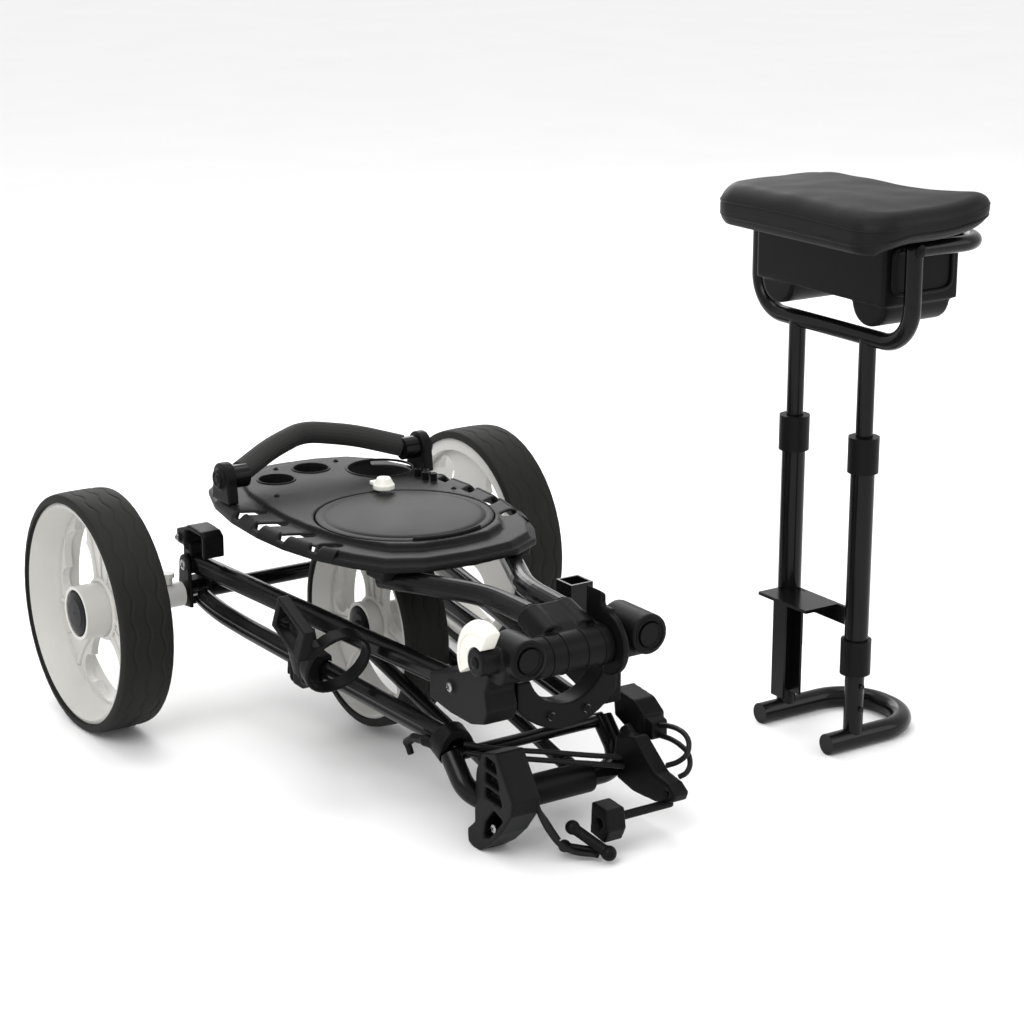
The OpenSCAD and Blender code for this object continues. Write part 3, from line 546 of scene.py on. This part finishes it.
def cushion():
    """Firm foam cushion: crowned across, rolled over its edges, softly creased."""
    x0, x1, y0, y1, low = -92, 82, -170, 122, 619.4
    cuts = lambda n: [-1 + 2 * (0.5 - 0.5 * math.cos(math.pi * i / n)) for i in range(n + 1)]
    mesh = bpy.data.meshes.new("cushion")
    bm = bmesh.new()
    nu, nv, nw = 56, 84, 16
    us, vs, ws = cuts(nu), cuts(nv), cuts(nw)
    seen = {}

    def place(u, v, w):
        key = (round(u, 5), round(v, 5), round(w, 5))
        if key in seen:
            return seen[key]
        hx, hy = (x1 - x0) / 2, (y1 - y0) / 2
        y = v * hy
        roll = max(0.0, (-u - 0.3) / 0.7)
        base = low - 15 * roll ** 1.5
        top = crown(y - 24) - 0.4
        hz = (top - base) / 2
        r = min(hz * 0.92, 21)
        rc = 40
        p = Vector((u * hx, v * hy, w * hz))
        ix, iy = max(-(hx - rc), min(hx - rc, p.x)), max(-(hy - rc), min(hy - rc, p.y))
        d = Vector((p.x - ix, p.y - iy))
        reach = max(abs(d.x), abs(d.y))
        if d.length > 1e-6:
            d = d.normalized() * reach
        flat_r = d.length
        edge = max(0.0, flat_r - (rc - r)) / r
        zc = max(-(hz - r), min(hz - r, p.z))
        dz = (p.z - zc) / r
        over = math.hypot(edge, dz)
        biggest = max(edge, abs(dz))
        if over > 1e-6 and edge > 0:
            edge2, dz2 = edge / over * biggest, dz / over * biggest
        else:
            edge2, dz2 = edge, dz
        if edge > 0 and d.length > 1e-6:
            flat_r = (rc - r) + edge2 * r
            d = d.normalized() * flat_r
        q = Vector((ix + d.x, iy + d.y, zc + dz2 * r))
        front = max(0.0, -q.x / hx)
        rear = max(0.0, q.x / hx)
        near = max(0.0, -q.y / hy)
        flare = (rear * near) ** 2
        if w > -0.2:
            q.z -= 4.0 * front ** 3
            q.z -= 3.0 * (1 - abs(q.y / hy)) * (0.3 + rear)
            q.z += 0.9 * noise.noise(Vector((q.x, q.y, q.z)) * 0.03)
        q.z += 19.0 * flare
        q.x += 17.0 * flare
        q.y -= 6.0 * flare
        seen[key] = bm.verts.new(seat_at((x0 + x1) / 2 + q.x, (y0 + y1) / 2 + q.y,
                                         (top + base) / 2 + q.z))
        return seen[key]

    def sheet(a, b, fixed, build):
        for i in range(len(a) - 1):
            for j in range(len(b) - 1):
                corners = [build(a[i], b[j], fixed), build(a[i + 1], b[j], fixed),
                           build(a[i + 1], b[j + 1], fixed), build(a[i], b[j + 1], fixed)]
                if len(set(corners)) == 4:
                    bm.faces.new(corners)

    for side in (-1, 1):
        sheet(us, vs, side, lambda u, v, w: place(u, v, w))
        sheet(us, ws, side, lambda u, w, v: place(u, v, w))
        sheet(vs, ws, side, lambda v, w, u: place(u, v, w))
    bmesh.ops.remove_doubles(bm, verts=bm.verts, dist=0.00001)
    bmesh.ops.recalc_face_normals(bm, faces=bm.faces)
    bm.to_mesh(mesh)
    bm.free()
    piece = add("cushion_cover", mesh, "vinyl", "cushion", 70)
    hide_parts("seat_pad")
    # Piping and the seam line round the cushion
    for name, share, size, out in (("piping", 0.3, 0.0019, -1.2), ("seam", 0.6, 0.0008, -0.2)):
        loop = []
        hx, hy, rc = 87 + out, 146 + out, 40
        corners = ((hx - rc, hy - rc, 0), (rc - hx, hy - rc, 90), (rc - hx, rc - hy, 180),
                   (hx - rc, rc - hy, 270))
        outline = []
        for n, (cx, cy, turn) in enumerate(corners):
            for i in range(13):
                a = math.radians(turn + 7.5 * i)
                outline.append((cx + rc * math.cos(a), cy + rc * math.sin(a)))
            nx, ny, nturn = corners[(n + 1) % 4]
            a = math.radians(nturn)
            goal = (nx + rc * math.cos(a), ny + rc * math.sin(a))
            for i in range(1, 12):
                f = i / 12
                outline.append((outline[-i][0] * (1 - f) + goal[0] * f,
                                outline[-i][1] * (1 - f) + goal[1] * f))
        for px, py in outline:
            u, v = px / 87, py / 146
            base = low - 15 * max(0.0, (-u - 0.3) / 0.7) ** 1.5
            flare = (max(0.0, u) * max(0.0, -v)) ** 2
            top = crown(py - 24) - 0.4
            loop.append(seat_at((x0 + x1) / 2 + px + 17 * flare,
                                (y0 + y1) / 2 + py - 6 * flare,
                                base + (top - base) * share + 19 * flare))
        line = tube("cushion_" + name, loop, size, "vinyl", "cushion", closed=True, sides=3)


cushion()
# Tabs under the cushion, box rim and framed side panel
for k, y in enumerate((-130, -24, 82)):
    lathe("cushion_tab_%d" % k, seat_at(-34, y, 616.2), (0, 0, 1),
          [(-1.4, 0.01), (-1.4, 8), (1.6, 9), (1.7, 0.01)], "plastic", "cushion", 28)
frame_side = []
for i in range(64):
    a = 2 * math.pi * i / 64
    c, s = math.cos(a), math.sin(a)
    frame_side.append(seat_at(31 + 44 * math.copysign(abs(c) ** 0.35, c), -113.4,
                              580 + 28 * math.copysign(abs(s) ** 0.35, s)))
tube("box_panel_frame", frame_side, 0.0022, "plastic", "storage_box", closed=True)
rim_loop = []
for i in range(96):
    a = 2 * math.pi * i / 96
    c, s = math.cos(a), math.sin(a)
    rim_loop.append(seat_at(31 + 56 * math.copysign(abs(c) ** 0.15, c),
                            112.5 * math.copysign(abs(s) ** 0.15, s), 616.2))
tube("box_rim", rim_loop, 0.0022, "plastic", "storage_box", closed=True)
for side in (-1, 1):
    screw("tilt_bolt_%d" % (side + 1), seat_at(0, side * 143.4, TILT_Z), (0, side, 0), 7.5,
          "seat_top", "plastic")
    for k, z in enumerate((42, 66)):
        lathe("snap_button_%d_%d" % (side + 1, k), seat_at(11.4, side * POST_Y, z), (1, 0, 0),
              [(-0.6, 3.4), (1.2, 3.2), (2.4, 2.0), (2.7, 0.01)], "steel", "seat_foot", 20)

# ---------------------------------------------------------------- stage

floor_mesh = mesh_from("floor", [(-30, -30, -0.0005), (30, -30, -0.0005), (30, 30, -0.0005),
                                 (-30, 30, -0.0005)], [(0, 1, 2, 3)])
floor = bpy.data.objects.new("floor", floor_mesh)
bpy.context.scene.collection.objects.link(floor)
floor_mat = material("pale floor", (0.9, 0.9, 0.9), 0.8, (0.92, 0.92, 0.92), mottle=3.0,
                     grain_depth=0.00001)
floor.data.materials.append(floor_mat)


def softbox(name, spot, target, size, power):
    light = bpy.data.lights.new(name, "AREA")
    light.shape = "RECTANGLE"
    light.size, light.size_y = size
    light.energy = power
    obj = bpy.data.objects.new(name, light)
    obj.location = spot
    obj.rotation_euler = (Vector(target) - Vector(spot)).to_track_quat("-Z", "Y").to_euler()
    bpy.context.scene.collection.objects.link(obj)


softbox("key", (-2.6, -1.6, 3.0), (0, 0, 0.2), (2.0, 2.0), 62)
softbox("fill", (2.6, -2.8, 2.0), (0, 0, 0.25), (1.6, 2.4), 26)
softbox("top", (0.2, 0.6, 3.4), (0, 0, 0.1), (2.6, 1.8), 44)
softbox("rim", (1.0, 3.2, 1.8), (0, 0, 0.3), (2.6, 1.4), 42)

WORLD_LIGHT = 0.98
world = bpy.data.worlds.new("studio")
bpy.context.scene.world = world
world.use_nodes = True
world.node_tree.nodes["Background"].inputs["Color"].default_value = (1, 1, 1, 1)
world.node_tree.nodes["Background"].inputs["Strength"].default_value = WORLD_LIGHT

FOCAL_MM = 91.4
SENSOR_MM = 36
lens = bpy.data.cameras.new("camera")
lens.lens = FOCAL_MM
lens.sensor_width = SENSOR_MM
camera = bpy.data.objects.new("camera", lens)
right = Vector((0.83442, -0.55113, 0.0)).normalized()
back = Vector((-0.52887, -0.80072, 0.28132)).normalized()
up = back.cross(right)
spot = at(-1485.24, -2735.85, 1131.60)
camera.matrix_world = Matrix((
    (right.x, up.x, back.x, spot.x),
    (right.y, up.y, back.y, spot.y),
    (right.z, up.z, back.z, spot.z),
    (0, 0, 0, 1)))
bpy.context.scene.collection.objects.link(camera)
scene = bpy.context.scene
scene.camera = camera
scene.view_settings.view_transform = "Standard"
scene.view_settings.exposure = 0.0

bpy.context.view_layer.update()
